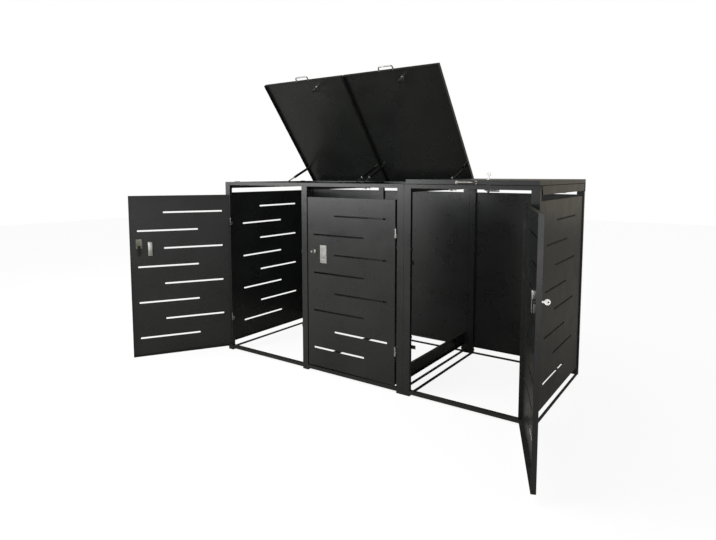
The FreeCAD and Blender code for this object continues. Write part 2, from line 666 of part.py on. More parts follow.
def door_pan(door):
    side = DOOR_SIDE[door]
    label = f"door_{door}_pan"
    x, width = span(side, DOOR_EDGE, f"{DOOR_EDGE} + door_w")
    body = pan(label, "upright", (x, "door_low", "-door_face"), width, "door_high - door_low", "door_t", True)
    near = f"{DOOR_EDGE} + door_slot_hinge"
    far = f"{DOOR_EDGE} + door_w - door_slot_free"
    slots_x, slots_run = span(side, near, far)
    shift = f"{slots_run} - door_slot"
    first, second = ("0", shift) if side > 0 else (shift, "0")
    origin = (slots_x, "door_slot_z - slot_pitch", "-door_face")
    slot_pairs(body, label, "upright", origin, first, second, "door_slot", True)
    lock_x = f"{side} * ({DOOR_EDGE} + door_w - door_lock_in)"
    hole = circle(body, label + "_lock_hole", "upright", (lock_x, "door_lock_z", "-door_face"),
                  "lock_barrel_r + plug_play")
    pocket(body, label + "_lock_cut", hole, "2 * steel", False)
    pull_x = f"{side} * ({DOOR_EDGE} + door_w - pull_in)"
    grow = "(cup_wall + plug_play)"
    corner = (f"{pull_x} - cup_w / 2 - {grow}", f"pull_z - cup_h / 2 - {grow}", "-door_face")
    opening = rectangle(body, label + "_pull_hole", "upright", corner,
                        f"cup_w + 2 * {grow}", f"cup_h + 2 * {grow}")
    pocket(body, label + "_pull_cut", opening, "2 * steel", False)
    hang_door(door, body)
    node(label, [body])


def door_pull(door):
    """Flush pull: a plate on the face with a recess for the fingers behind it."""
    name = f"door_{door}_pull"
    x = f"{DOOR_SIDE[door]} * ({DOOR_EDGE} + door_w - pull_in)"
    plate = box(name + "_plate", (f"{x} - pull_w / 2", "door_face - pull_t", "pull_z - pull_h / 2"),
                ("pull_w", "pull_t", "pull_h"))
    cup = box(name + "_cup", (f"{x} - cup_w / 2 - cup_wall", "door_face", "pull_z - cup_h / 2 - cup_wall"),
              ("cup_w + 2 * cup_wall", "cup_d", "cup_h + 2 * cup_wall"))
    recess = box(name + "_recess", (f"{x} - cup_w / 2", "door_face - pull_t", "pull_z - cup_h / 2"),
                 ("cup_w", "pull_t + cup_d - cup_wall", "cup_h"))
    piece = cut(name, fuse(name + "_body", [plate, cup]), [recess])
    hang_door(door, piece)
    node(name, [piece])


def door_hinge_leaves(door):
    """The door's half of its two lift-off hinges: the upper knuckles, bored for the pins."""
    side = DOOR_SIDE[door]
    pieces = []
    for level in ("low", "high"):
        name = f"door_{door}_{level}_leaf"
        z = f"door_hinge_{level} + knuckle + knuckle_gap"
        x, width = span(side, f"{DOOR_EDGE} - leaf_t", DOOR_EDGE)
        leaf = box(name + "_plate", (x, "0", z), (width, "leaf_reach + door_face", "knuckle"))
        barrel = bar(name + "_barrel", "z", ("0", "0", z), "barrel_r", "knuckle")
        bore = bar(name + "_bore", "z", ("0", "0", z), "hinge_pin_r + hinge_play", "knuckle - pin_cap")
        pieces.append(cut(name, fuse(name + "_body", [leaf, barrel]), [bore]))
    group = node(f"door_{door}_hinge_leaves", pieces)
    hang_door(door, group)


def door_hinge_frame_leaves():
    """The posts' half of the door hinges: the lower knuckles, each with its pin."""
    pieces = []
    for door in BAYS:
        side = DOOR_SIDE[door]
        for level in ("low", "high"):
            name = f"frame_{door}_{level}_leaf"
            z = f"door_hinge_{level}"
            x, width = span(side, f"-({DOOR_EDGE})", f"leaf_t - {DOOR_EDGE}")
            start = (f"{DOOR_PIN_X[door]} + ({x})", "door_pin_y", z)
            leaf = box(name + "_plate", start, (width, "leaf_reach + door_face", "knuckle"))
            centre = (DOOR_PIN_X[door], "door_pin_y", z)
            barrel = bar(name + "_barrel", "z", centre, "barrel_r", "knuckle")
            pin = bar(name + "_pin", "z", centre, "hinge_pin_r",
                      "2 * knuckle + knuckle_gap - pin_cap - pin_end_gap")
            pieces.append(fuse(name, [leaf, barrel, pin]))
    node("door_hinge_frame_leaves", pieces)


def door_lock(door):
    """Cam lock near the door's free edge. Its case is fixed; its plug turns the cam and key."""
    side = DOOR_SIDE[door]
    name = f"door_{door}_lock"
    x = f"{side} * ({DOOR_EDGE} + door_w - door_lock_in)"
    z = "door_lock_z"
    ring = bar(name + "_ring", "y", (x, "door_face - lock_ring_t", z), "lock_ring_r", "lock_ring_t")
    barrel = bar(name + "_barrel", "y", (x, "door_face", z), "lock_barrel_r",
                 "door_cam - door_face - plug_play")
    case_start = (f"{x} - lock_case_w / 2", "door_face + steel", f"{z} - lock_case_below")
    case = box(name + "_case_block", case_start, ("lock_case_w", "lock_case_t", "lock_case_h"))
    bore = bar(name + "_bore", "y", (x, "door_face - lock_ring_t", z), "plug_r + hinge_play",
               "door_cam + lock_ring_t")
    body = cut(name + "_case", fuse(name + "_body", [ring, barrel, case]), [bore])
    hang_door(door, body)
    node(name + "_case", [body])

    plug_face = "door_face - lock_ring_t"
    core = bar(name + "_core", "y", (x, plug_face, z), "plug_r", f"door_cam + cam_t - ({plug_face})")
    cam = box(name + "_cam", (f"{x} - cam_w / 2", "door_cam", f"{z} - cam_long"),
              ("cam_w", "cam_t", "cam_long + cam_w / 2"))
    stem = box(name + "_stem", (f"{x} - key_t / 2", f"{plug_face} - key_stem", f"{z} - key_stem_w / 2"),
               ("key_t", "key_stem", "key_stem_w"))
    bow_y = f"{plug_face} - key_stem - key_bow_r + key_bite"
    bow = bar(name + "_bow", "x", (f"{x} - key_t / 2", bow_y, z), "key_bow_r", "key_t")
    eye = bar(name + "_eye", "x", (f"{x} - key_t / 2", f"{bow_y} - key_hole_out", z), "key_hole_r", "key_t")
    piece = cut(name + "_plug", fuse(name + "_turning", [core, cam, stem, bow]), [eye])
    hang_door(door, piece)
    node(name + "_plug", [piece])


def keepers():
    """Bent tabs on the posts behind each door's free edge, and lugs under the front rail."""
    pieces = []
    flanks = {1: ("bay_1_right", -1), 2: ("bay_2_left", 1), 3: ("bay_3_left", 1)}
    for bay, (flank, way) in flanks.items():
        for level in ("keeper_z", "stop_z"):
            name = f"{level}_{bay}"
            foot_x = flank if way > 0 else f"{flank} - keeper_t"
            arm_x = flank if way > 0 else f"{flank} - keeper_long"
            arm_y = "front + door_t + keeper_gap"
            foot = box(name + "_foot", (foot_x, f"{arm_y} - keeper_foot", level),
                       ("keeper_t", "keeper_foot + keeper_t", "keeper_h"))
            arm = box(name + "_arm", (arm_x, arm_y, level), ("keeper_long", "keeper_t", "keeper_h"))
            pieces.append(fuse(name, [foot, arm]))
        middle = f"bay_{bay}_left + bay_clear / 2 + lid_lock_x"
        start = (f"{middle} - lug_w / 2", "front + front_rail_d - lug_in - lug_d",
                 "frame_h - front_rail_t - lug_h")
        pieces.append(box(f"lid_lug_{bay}", start, ("lug_w", "lug_d", "lug_h")))
    node("lock_keepers", pieces)


# Lids. Each is drawn closed, from its hinge pin: x from the lid's left edge, y to the back.

def hang_lid(lid, piece):
    """Lifts a lid's piece about its pin to where the lid stands."""
    turned(piece, (f"lid_{lid}_left", "lid_pin_y", "lid_pin_z"), Vector(1, 0, 0), f"-lid_{lid}_open * 1 deg")


def lid_lock_x_of(lid):
    return f"(bay_{lid}_left + bay_clear / 2 + lid_lock_x - (lid_{lid}_left))"


def lid_pan(lid):
    """Lid: a shallow pan with a deep rear flange that hangs behind the back rail."""
    label = f"lid_{lid}_pan"
    body = pan(label, "flat", ("0", "lid_lip", "lid_face"), f"lid_{lid}_w", "lid_d", "lid_t", True)
    flange = rectangle(body, label + "_flange_line", "flat", ("0", "lid_rear - steel", "lid_edge"),
                       f"lid_{lid}_w", "steel")
    pad(body, label + "_flange", flange, "lid_flange - lid_t", True)
    hole = circle(body, label + "_lock_hole", "flat", (lid_lock_x_of(lid), "lid_lock_y", "lid_face"),
                  "lock_barrel_r + plug_play")
    pocket(body, label + "_lock_cut", hole, "2 * steel", False)
    hang_lid(lid, body)
    node(label, [body])


def lid_handle(lid):
    """Bow handle on the front lip: one round bar with two bends, and a washer at each foot."""
    name = f"lid_{lid}_handle"
    middle = f"(bay_{lid}_left + bay_clear / 2 - (lid_{lid}_left))"
    z = "lid_edge + handle_up"
    half = "(handle_w / 2 - handle_r)"
    bar_y = "(lid_lip - handle_out + handle_r)"
    pieces = []
    for tag, way in (("left", -1), ("right", 1)):
        x = f"{middle} + {way} * {half}"
        leg = bar(f"{name}_{tag}_leg", "y", (x, f"{bar_y} + handle_bend", z), "handle_r",
                  f"lid_lip - {bar_y} - handle_bend")
        foot = bar(f"{name}_{tag}_foot", "y", (x, "lid_lip - handle_foot_t", z),
                   "handle_foot_r", "handle_foot_t")
        bend = doc.addObject("Part::Torus", f"{name}_{tag}_bend")
        bind(bend, "Radius1", "handle_bend")
        bind(bend, "Radius2", "handle_r")
        bend.Angle3 = 90
        start = 270 if way > 0 else 180
        bend.Placement = Placement(Vector(), Rotation(Vector(0, 0, 1), start))
        place(bend, (f"{x} - {way} * handle_bend", f"{bar_y} + handle_bend", z))
        pieces += [leg, foot, bend]
    grip = bar(name + "_grip", "x", (f"{middle} - {half} + handle_bend", bar_y, z), "handle_r",
               f"2 * {half} - 2 * handle_bend")
    piece = fuse(name, pieces + [grip])
    hang_lid(lid, piece)
    node(name, [piece])


def lid_hinge_x(lid):
    """Left ends of a lid's two hinges from its left edge."""
    run = "(3 * lid_knuckle + 2 * knuckle_gap)"
    return {"left": "lid_hinge_in", "right": f"lid_{lid}_w - lid_hinge_in - {run}"}, run


def lid_fittings(lid):
    """What is screwed to the lid: its hinge leaves, and the brackets of its two gas struts."""
    pieces = []
    places, run = lid_hinge_x(lid)
    for tag, x in places.items():
        name = f"lid_{lid}_{tag}_leaf"
        leaf_y = "lid_rear"
        low = "barrel_r + lid_leaf_gap"
        plate = box(name + "_plate", (x, leaf_y, low), (run, "leaf_t", "lid_leaf_h"))
        neck_x = f"{x} + lid_knuckle + knuckle_gap"
        neck = box(name + "_neck", (neck_x, leaf_y, "0"), ("lid_knuckle", "leaf_t", low))
        barrel = bar(name + "_barrel", "x", (neck_x, "0", "0"), "barrel_r", "lid_knuckle")
        bore = bar(name + "_bore", "x", (neck_x, "0", "0"), "hinge_pin_r + hinge_play", "lid_knuckle")
        pieces.append(cut(name, fuse(name + "_body", [plate, neck, barrel]), [bore]))
    for tag, way in (("left", 1), ("right", -1)):
        name = f"lid_{lid}_{tag}_bracket"
        plane = f"(strut_{lid}_{tag} - (lid_{lid}_left))"
        off = "(eye_t / 2 + bracket_gap)"
        plate_x = f"{plane} - {off} - bracket_t" if way > 0 else f"{plane} + {off}"
        plate = box(name + "_plate", (plate_x, "arm_y - bracket_w / 2", "arm_z - eye_r"),
                    ("bracket_t", "bracket_w", "lid_face - steel - arm_z + eye_r"))
        stud_x = plate_x if way > 0 else f"{plane} - eye_t / 2"
        stud = bar(name + "_stud", "x", (stud_x, "arm_y", "arm_z"), "stud_r",
                   "bracket_t + eye_t + bracket_gap")
        pieces.append(fuse(name, [plate, stud]))
    group = node(f"lid_{lid}_fittings", pieces)
    hang_lid(lid, group)


def lid_hinge_frame_leaves():
    """The back rails' half of the lid hinges, each with its pin through the lid's knuckle."""
    pieces = []
    for lid in BAYS:
        places, run = lid_hinge_x(lid)
        for tag, place_x in places.items():
            name = f"lid_{lid}_{tag}_frame_leaf"
            x = f"lid_{lid}_left + {place_x}"
            low = "lid_pin_z + barrel_r + lid_leaf_gap"
            plate = box(name + "_plate", (x, "back", low), (run, "leaf_t", "lid_leaf_h - leaf_t"))
            parts = [plate]
            for end, shift in (("a", "0"), ("b", "2 * (lid_knuckle + knuckle_gap)")):
                knuckle_x = f"{x} + {shift}"
                parts.append(bar(f"{name}_barrel_{end}", "x", (knuckle_x, "lid_pin_y", "lid_pin_z"),
                                 "barrel_r", "lid_knuckle"))
                parts.append(box(f"{name}_neck_{end}", (knuckle_x, "back", "lid_pin_z - barrel_r"),
                                 ("lid_knuckle", "leaf_t", "2 * barrel_r + lid_leaf_gap")))
                parts.append(box(f"{name}_sole_{end}", (knuckle_x, "back", "lid_pin_z - barrel_r"),
                                 ("lid_knuckle", "lid_pin_back", "leaf_t")))
            parts.append(bar(name + "_pin", "x", (x, "lid_pin_y", "lid_pin_z"), "hinge_pin_r", run))
            pieces.append(fuse(name, parts))
    node("lid_hinge_frame_leaves", pieces)


def lid_lock(lid):
    """Cam lock through the lid, just behind the front rail."""
    name = f"lid_{lid}_lock"
    x = lid_lock_x_of(lid)
    y = "lid_lock_y"
    ring = bar(name + "_ring", "z", (x, y, "lid_face"), "lock_ring_r", "lock_ring_t")
    barrel = bar(name + "_barrel", "z", (x, y, "lid_lock_end"), "lock_barrel_r", "lid_face - lid_lock_end")
    nut = hexagon(name + "_nut", "z", (x, y, "lid_face - steel - lid_nut_t"), "lid_nut_r", "lid_nut_t")
    bore = bar(name + "_bore", "z", (x, y, "lid_lock_end"), "plug_r + hinge_play",
               "lid_face + lock_ring_t - lid_lock_end")
    body = cut(name + "_case", fuse(name + "_body", [ring, barrel, nut]), [bore])
    hang_lid(lid, body)
    node(name + "_case", [body])

    cam_z = "lid_lock_end - plug_play - cam_t"
    top = "(lid_face + lock_ring_t)"
    core = bar(name + "_core", "z", (x, y, cam_z), "plug_r", f"{top} - ({cam_z})")
    cam = box(name + "_cam", (f"{x} - cam_w / 2", f"{y} - cam_w / 2", cam_z),
              ("lid_cam_long + cam_w / 2", "cam_w", "cam_t"))
    stem = box(name + "_stem", (f"{x} - key_stem_w / 2", f"{y} - key_t / 2", top),
               ("key_stem_w", "key_t", "key_stem"))
    bow_z = f"{top} + key_stem + key_bow_r - key_bite"
    bow = bar(name + "_bow", "y", (x, f"{y} - key_t / 2", bow_z), "key_bow_r", "key_t")
    eye = bar(name + "_eye", "y", (x, f"{y} - key_t / 2", f"{bow_z} + key_hole_out"), "key_hole_r", "key_t")
    piece = cut(name + "_plug", fuse(name + "_turning", [core, cam, stem, bow]), [eye])
    hang_lid(lid, piece)
    node(name + "_plug", [piece])


def lid_buffers():
    """Rubber pads on the side rails, under the folded edges of the closed lids."""
    pieces = []
    for number, (x, width) in enumerate(SIDE_RAILS, 1):
        for tag, way in (("front", -1), ("back", 1)):
            start = (x, f"{way} * buffer_y - buffer_long / 2", "frame_h")
            size = (width, "buffer_long", "lid_lift - buffer_gap")
            pieces.append(box(f"buffer_{number}_{tag}", start, size))
    node("lid_buffers", pieces)


# Gas struts. Each is drawn from an eye, with the rod's line along y.

def strut(lid, tag):
    """Cylinder with its eye on the lid, and rod with its eye at the side rail."""
    x = f"strut_{lid}_{tag}"
    angle = f"strut_{lid}_turn"
    name = f"lid_{lid}_{tag}_strut"
    ends = ("0", "-gland_reach", "0")
    shell = bar(name + "_shell", "y", ends, "strut_r", "strut_long")
    neck = bar(name + "_neck", "y", ("0", "-strut_neck - strut_wall", "0"), "rod_r",
               "strut_neck + strut_wall - eye_r + eye_bite")
    eye = bar(name + "_eye", "x", ("-eye_t / 2", "0", "0"), "eye_r", "eye_t")
    bore = bar(name + "_bore", "y", ("0", "gland - gland_reach", "0"), "strut_r - strut_wall",
               "strut_long - gland - strut_wall")
    mouth = bar(name + "_mouth", "y", ends, "rod_r + running_play", "gland")
    hole = bar(name + "_eye_hole", "x", ("-eye_t / 2", "0", "0"), "stud_r + running_play", "eye_t")
    cylinder = cut(name + "_cylinder", fuse(name + "_body", [shell, neck, eye]), [bore, mouth, hole])
    turned(cylinder, (x, f"strut_{lid}_y", f"strut_{lid}_z"), Vector(1, 0, 0), angle)
    node(name + "_cylinder", [cylinder])

    root = "eye_r - eye_bite"
    shaft = bar(name + "_shaft", "y", ("0", root, "0"), "rod_r", f"rod_long - ({root})")
    piston_y = "rod_long - piston"
    piston = bar(name + "_piston", "y", ("0", piston_y, "0"), "strut_r - strut_wall - running_play", "piston")
    foot = bar(name + "_foot", "x", ("-eye_t / 2", "0", "0"), "eye_r", "eye_t")
    foot_hole = bar(name + "_foot_hole", "x", ("-eye_t / 2", "0", "0"), "stud_r", "eye_t")
    rod = cut(name + "_rod", fuse(name + "_moving", [shaft, piston, foot]), [foot_hole])
    turned(rod, (x, "strut_rail_y", "strut_rail_z"), Vector(1, 0, 0), angle)
    node(name + "_rod", [rod])


def strut_rail_studs():
    """Plates on the side rails' inner faces with a stud beside each rod's eye."""
    pieces = []
    for lid in BAYS:
        for tag, way in (("left", 1), ("right", -1)):
            name = f"lid_{lid}_{tag}_rail_stud"
            plane = f"strut_{lid}_{tag}"
            rail = f"({plane} - {way} * strut_in)"
            y = "strut_rail_y"
            z = "strut_rail_z"
            plate_x = rail if way > 0 else f"{rail} - bracket_t"
            plate = box(name + "_plate", (plate_x, f"{y} - bracket_w / 2", f"{z} - eye_r"),
                        ("bracket_t", "bracket_w", "2 * eye_r"))
            reach = "strut_in - eye_t / 2 - stud_gap"
            stud_x = rail if way > 0 else f"{rail} - ({reach})"
            stud = bar(name + "_stud", "x", (stud_x, y, z), "stud_r", reach)
            pieces.append(fuse(name, [plate, stud]))
    node("strut_rail_studs", pieces)


def check_and_write():
    """Checks every object and every sub-part, then writes one file for each sub-part."""
    doc.recompute()
    bad = [thing.Name for thing in doc.Objects if {"Invalid", "Error"} & set(thing.State)]
    if bad:
        raise SystemExit("failed objects: " + ", ".join(bad))
    for piece in nodes:
        if piece.Shape.isNull() or not piece.Shape.isValid() or not piece.Shape.Solids:
            raise SystemExit("bad shape: " + piece.Label)
    os.makedirs("parts", exist_ok=True)
    for piece in nodes:
        piece.Shape.exportStep(f"parts/{piece.Label}.step")
    print(len(nodes), "sub-parts,", sum(len(piece.Shape.Solids) for piece in nodes), "solids")


fill_sheet()
posts("front", "front", "front_rail_t")
posts("back", "(back - post_d)", "back_rail_t")
top_rails()
sills_and_floor_bars()
tube_plugs()
side_panels()
back_panels()
tie_plate()
joining_bolts()
door_hinge_frame_leaves()
lid_hinge_frame_leaves()
keepers()
lid_buffers()
strut_rail_studs()
for bay in BAYS:
    door_pan(bay)
    door_pull(bay)
    door_hinge_leaves(bay)
    door_lock(bay)
    lid_pan(bay)
    lid_handle(bay)
    lid_fittings(bay)
    lid_lock(bay)
    for tag in ("left", "right"):
        strut(bay, tag)
check_and_write()
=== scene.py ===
import bmesh
import bpy
from math import cos, pi, radians, sin
from mathutils import Matrix, Vector


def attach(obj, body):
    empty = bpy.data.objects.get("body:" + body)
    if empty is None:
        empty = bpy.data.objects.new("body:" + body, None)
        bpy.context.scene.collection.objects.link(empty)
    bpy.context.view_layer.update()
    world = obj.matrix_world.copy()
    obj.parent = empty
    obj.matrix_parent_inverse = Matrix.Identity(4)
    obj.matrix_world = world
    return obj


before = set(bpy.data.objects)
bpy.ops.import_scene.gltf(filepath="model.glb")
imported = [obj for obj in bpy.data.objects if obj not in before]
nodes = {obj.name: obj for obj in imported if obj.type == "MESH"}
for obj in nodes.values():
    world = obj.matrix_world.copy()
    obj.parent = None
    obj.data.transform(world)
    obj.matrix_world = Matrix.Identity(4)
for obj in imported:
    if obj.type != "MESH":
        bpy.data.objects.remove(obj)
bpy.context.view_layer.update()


# The camera stands to the right of the store, a little above its lids, and looks down the row
# of doors to the left. Its focal length is given in the photograph's pixels.

CAMERA_AT = Vector((1.75871, -2.83086, 1.17474))
CAMERA_YAW = 0.5959
CAMERA_PITCH = 0.0894
CAMERA_ROLL = 0.0015
PHOTO_WIDTH, PHOTO_HEIGHT = 716, 540
FOCUS_PX = 538.74
AXIS_PX = (371.29, 222.80)
SENSOR_WIDTH = 36.0


def aim_camera():
    ahead = Vector((-sin(CAMERA_YAW) * cos(CAMERA_PITCH), cos(CAMERA_YAW) * cos(CAMERA_PITCH),
                    -sin(CAMERA_PITCH)))
    level = Vector((cos(CAMERA_YAW), sin(CAMERA_YAW), 0))
    upright = level.cross(ahead)
    right = level * cos(CAMERA_ROLL) + upright * sin(CAMERA_ROLL)
    up = upright * cos(CAMERA_ROLL) - level * sin(CAMERA_ROLL)
    data = bpy.data.cameras.new("camera")
    data.sensor_fit = "HORIZONTAL"
    data.sensor_width = SENSOR_WIDTH
    data.lens = FOCUS_PX / PHOTO_WIDTH * SENSOR_WIDTH
    data.shift_x = (PHOTO_WIDTH / 2 - AXIS_PX[0]) / PHOTO_WIDTH
    data.shift_y = (AXIS_PX[1] - PHOTO_HEIGHT / 2) / PHOTO_WIDTH
    camera = bpy.data.objects.new("camera", data)
    bpy.context.scene.collection.objects.link(camera)
    turn = Matrix((right, up, -ahead)).transposed().to_4x4()
    camera.matrix_world = Matrix.Translation(CAMERA_AT) @ turn
    bpy.context.scene.camera = camera


aim_camera()


# The studio: a pale floor, a white surround that turns to warm grey behind the store, a broad
# soft lamp high in front on the left, a wide one overhead and a small one low on the right.
# In reflections the floor shows a painted shade, grey near the store and white only far off, and
# the surround is dark overhead.

bpy.context.scene.view_settings.view_transform = "Standard"
FLOOR_SIZE = 24.0
FLOOR_COLOUR = (0.86, 0.86, 0.86, 1)
# Painted shade, seen only in reflections: the floor near the store.
FLOOR_MIRRORED_SHADE = (0.42, 0.39, 0.35, 1)
FLOOR_ROUGH = 0.9
FLOOR_SEEN = 0.80
FLOOR_GLOW = 1.12
BRIGHT_WAY = Vector((0.6, -0.8, 0.0))
BRIGHT_FROM, BRIGHT_TO = 2.9, 4.0
ROOM_LEVEL = 0.42
ROOM_WHITE = (1.0, 1.0, 1.0, 1)
ROOM_WARM = (0.45, 0.41, 0.345, 1)
WARM_WAY = Vector((0.35, 0.94, 0.0))
WARM_FROM, WARM_TO = -0.15, 0.45
ROOM_OVERHEAD = (0.05, 0.05, 0.05, 1)
OVERHEAD_FROM, OVERHEAD_TO = 0.12, 0.50
LAMPS = {
    "front_left": ((-2.7, -3.6, 1.75), (0.0, -0.4, 0.9), (2.6, 1.5), 80),
    "overhead": ((-1.2, -1.8, 3.8), (-0.3, -0.3, 0.4), (2.6, 2.0), 50),
    "right_low": ((3.40, -5.00, 0.45), (1.2, -0.95, 0.7), (1.4, 0.9), 12),
}


def join(tree, source, target):
    tree.links.new(source, target)


def ray_is(tree, *kinds):
    """1 for a ray of one of these kinds, else 0."""
    path = tree.nodes.new("ShaderNodeLightPath")
    found = path.outputs[kinds[0]]
    for kind in kinds[1:]:
        most = tree.nodes.new("ShaderNodeMath")
        most.operation = "MAXIMUM"
        join(tree, found, most.inputs[0])
        join(tree, path.outputs[kind], most.inputs[1])
        found = most.outputs[0]
    return found


def reach_along(tree, place, way):
    """How far a place or a direction reaches along a way."""
    reach = tree.nodes.new("ShaderNodeVectorMath")
    reach.operation = "DOT_PRODUCT"
    reach.inputs[1].default_value = way
    join(tree, place, reach.inputs[0])
    return reach.outputs["Value"]


def spread(tree, source, low, high, start=0.35, end=0.65):
    """Takes what runs from start to end to low and high."""
    ranged = tree.nodes.new("ShaderNodeMapRange")
    ranged.inputs["From Min"].default_value = start
    ranged.inputs["From Max"].default_value = end
    ranged.inputs["To Min"].default_value = low
    ranged.inputs["To Max"].default_value = high
    join(tree, source, ranged.inputs["Value"])
    return ranged.outputs["Result"]


def two_tone(tree, share, first, second):
    """Mixes two colours, or a colour and what an earlier mix gave, by a share."""
    mix = tree.nodes.new("ShaderNodeMix")
    mix.data_type = "RGBA"
    for tone, socket in ((first, mix.inputs["A"]), (second, mix.inputs["B"])):
        if isinstance(tone, tuple):
            socket.default_value = tone if len(tone) == 4 else (*tone, 1)
        else:
            join(tree, tone, socket)
    join(tree, share, mix.inputs["Factor"])
    return mix.outputs["Result"]


def pale_floor():
    mesh = bpy.data.meshes.new("floor")
    grid = bmesh.new()
    bmesh.ops.create_grid(grid, x_segments=1, y_segments=1, size=FLOOR_SIZE / 2)
    grid.to_mesh(mesh)
    grid.free()
    floor = bpy.data.objects.new("floor", mesh)
    bpy.context.scene.collection.objects.link(floor)
    material = bpy.data.materials.new("floor")
    material.use_nodes = True
    tree = material.node_tree
    shader = tree.nodes["Principled BSDF"]
    place = tree.nodes.new("ShaderNodeTexCoord")
    across = reach_along(tree, place.outputs["Object"], BRIGHT_WAY)
    bright = spread(tree, across, 0, 1, BRIGHT_FROM, BRIGHT_TO)
    # Painted shade in reflections: grey floor near the store, white only far off.
    mirrored = two_tone(tree, bright, FLOOR_MIRRORED_SHADE, ROOM_WHITE)
    tint = two_tone(tree, ray_is(tree, "Is Glossy Ray"), FLOOR_COLOUR, mirrored)
    join(tree, tint, shader.inputs["Base Color"])
    shader.inputs["Roughness"].default_value = FLOOR_ROUGH
    glow = tree.nodes.new("ShaderNodeEmission")
    glow.inputs["Strength"].default_value = FLOOR_GLOW
    share = tree.nodes.new("ShaderNodeMath")
    share.operation = "MULTIPLY"
    share.inputs[1].default_value = FLOOR_SEEN
    mix = tree.nodes.new("ShaderNodeMixShader")
    join(tree, ray_is(tree, "Is Camera Ray"), share.inputs[0])
    join(tree, share.outputs[0], mix.inputs["Fac"])
    join(tree, shader.outputs[0], mix.inputs[1])
    join(tree, glow.outputs[0], mix.inputs[2])
    join(tree, mix.outputs[0], tree.nodes["Material Output"].inputs["Surface"])
    mesh.materials.append(material)


def white_surround():
    world = bpy.data.worlds.new("studio")
    bpy.context.scene.world = world
    world.use_nodes = True
    tree = world.node_tree
    tree.nodes.clear()
    way = tree.nodes.new("ShaderNodeTexCoord").outputs["Generated"]
    warmth = spread(tree, reach_along(tree, way, WARM_WAY), 0, 1, WARM_FROM, WARM_TO)
    tint = two_tone(tree, warmth, ROOM_WHITE, ROOM_WARM)
    lift = tree.nodes.new("ShaderNodeSeparateXYZ")
    join(tree, way, lift.inputs[0])
    height = spread(tree, lift.outputs["Z"], 0, 1, OVERHEAD_FROM, OVERHEAD_TO)
    room = tree.nodes.new("ShaderNodeBackground")
    room.inputs["Color"].default_value = ROOM_WHITE
    room.inputs["Strength"].default_value = ROOM_LEVEL
    mirrored = tree.nodes.new("ShaderNodeBackground")
    join(tree, two_tone(tree, height, tint, ROOM_OVERHEAD), mirrored.inputs["Color"])
    seen = tree.nodes.new("ShaderNodeBackground")
    seen.inputs["Color"].default_value = ROOM_WHITE
    plain = tree.nodes.new("ShaderNodeMixShader")
    join(tree, ray_is(tree, "Is Glossy Ray", "Is Transmission Ray"), plain.inputs["Fac"])
    join(tree, room.outputs[0], plain.inputs[1])
    join(tree, mirrored.outputs[0], plain.inputs[2])
    mix = tree.nodes.new("ShaderNodeMixShader")
    join(tree, ray_is(tree, "Is Camera Ray"), mix.inputs["Fac"])
    join(tree, plain.outputs[0], mix.inputs[1])
    join(tree, seen.outputs[0], mix.inputs[2])
    out = tree.nodes.new("ShaderNodeOutputWorld")
    join(tree, mix.outputs[0], out.inputs["Surface"])


def soft_lamp(name, place, aim, size, power):
    data = bpy.data.lights.new(name, "AREA")
    data.shape = "RECTANGLE"
    data.size, data.size_y = size
    data.energy = power
    lamp = bpy.data.objects.new(name, data)
    bpy.context.scene.collection.objects.link(lamp)
    turn = (Vector(aim) - Vector(place)).to_track_quat("-Z", "Y").to_matrix().to_4x4()
    lamp.matrix_world = Matrix.Translation(place) @ turn


pale_floor()
white_surround()
for name, (place, aim, size, power) in LAMPS.items():
    soft_lamp(name, place, aim, size, power)


# Posts, rails, sills and floor bars: steel tube and bar, cut square and welded, then coated all
# over in satin black powder, which bakes to a fine pebble. The tabs and lugs that the locks catch
# are welded on, and a rippled bead shows where a rail, sill or bar meets a post.

COAT_BLACK = (0.0132, 0.0150, 0.0140)
COAT_WORN = (0.026, 0.026, 0.025)
COAT_ROUGH = (0.25, 0.33)
COAT_DUST = (0.085, 0.078, 0.066)
DUST_SHARE = (0.10, 0.35)
RUBBED_SHARE = 0.10
CLOUD_PER_M = 4.0
CLOUD_BRIGHTER = 1.35
RUBBED_PER_M = 38.0
RUBBED_SPAN = (0.62, 0.85)
DUST_PER_M = 16.0
UPWARD_SPAN = (0.6, 0.95)
GLOSS_PER_M = 9.0
GLOSS_SPAN = (0.25, 0.75)
PEBBLE_PER_M = 520
PEBBLE_DEEP = 0.00012
PEBBLE_STRENGTH = 0.35
WAVES_PER_M = 3.2
WAVES_STRENGTH = 0.6
MERGE_WITHIN = 1e-6
SHARP_FROM = radians(38)


def finish_of(name):
    """A new material and its tree and shader, to be turned into one finish."""
    material = bpy.data.materials.new(name)
    material.use_nodes = True
    tree = material.node_tree
    return material, tree, tree.nodes["Principled BSDF"]


def mottle(tree, per_m, detail=3.0, stretch=(1, 1, 1)):
    """Noise in the piece's own metres."""
    place = tree.nodes.new("ShaderNodeTexCoord")
    mapping = tree.nodes.new("ShaderNodeMapping")
    mapping.inputs["Scale"].default_value = stretch
    noise = tree.nodes.new("ShaderNodeTexNoise")
    noise.inputs["Scale"].default_value = per_m
    noise.inputs["Detail"].default_value = detail
    join(tree, place.outputs["Object"], mapping.inputs["Vector"])
    join(tree, mapping.outputs[0], noise.inputs["Vector"])
    return noise.outputs["Fac"]


def relief(tree, height, deep, strength, under=None):
    """Bump of a depth in metres, over what lies under it."""
    bump = tree.nodes.new("ShaderNodeBump")
    bump.inputs["Strength"].default_value = strength
    bump.inputs["Distance"].default_value = deep
    join(tree, height, bump.inputs["Height"])
    if under is not None:
        join(tree, under, bump.inputs["Normal"])
    return bump.outputs["Normal"]


def upward(tree):
    """1 on faces that look up, 0 on walls."""
    geometry = tree.nodes.new("ShaderNodeNewGeometry")
    split = tree.nodes.new("ShaderNodeSeparateXYZ")
    join(tree, geometry.outputs["Normal"], split.inputs[0])
    return spread(tree, split.outputs["Z"], 0, 1, *UPWARD_SPAN)


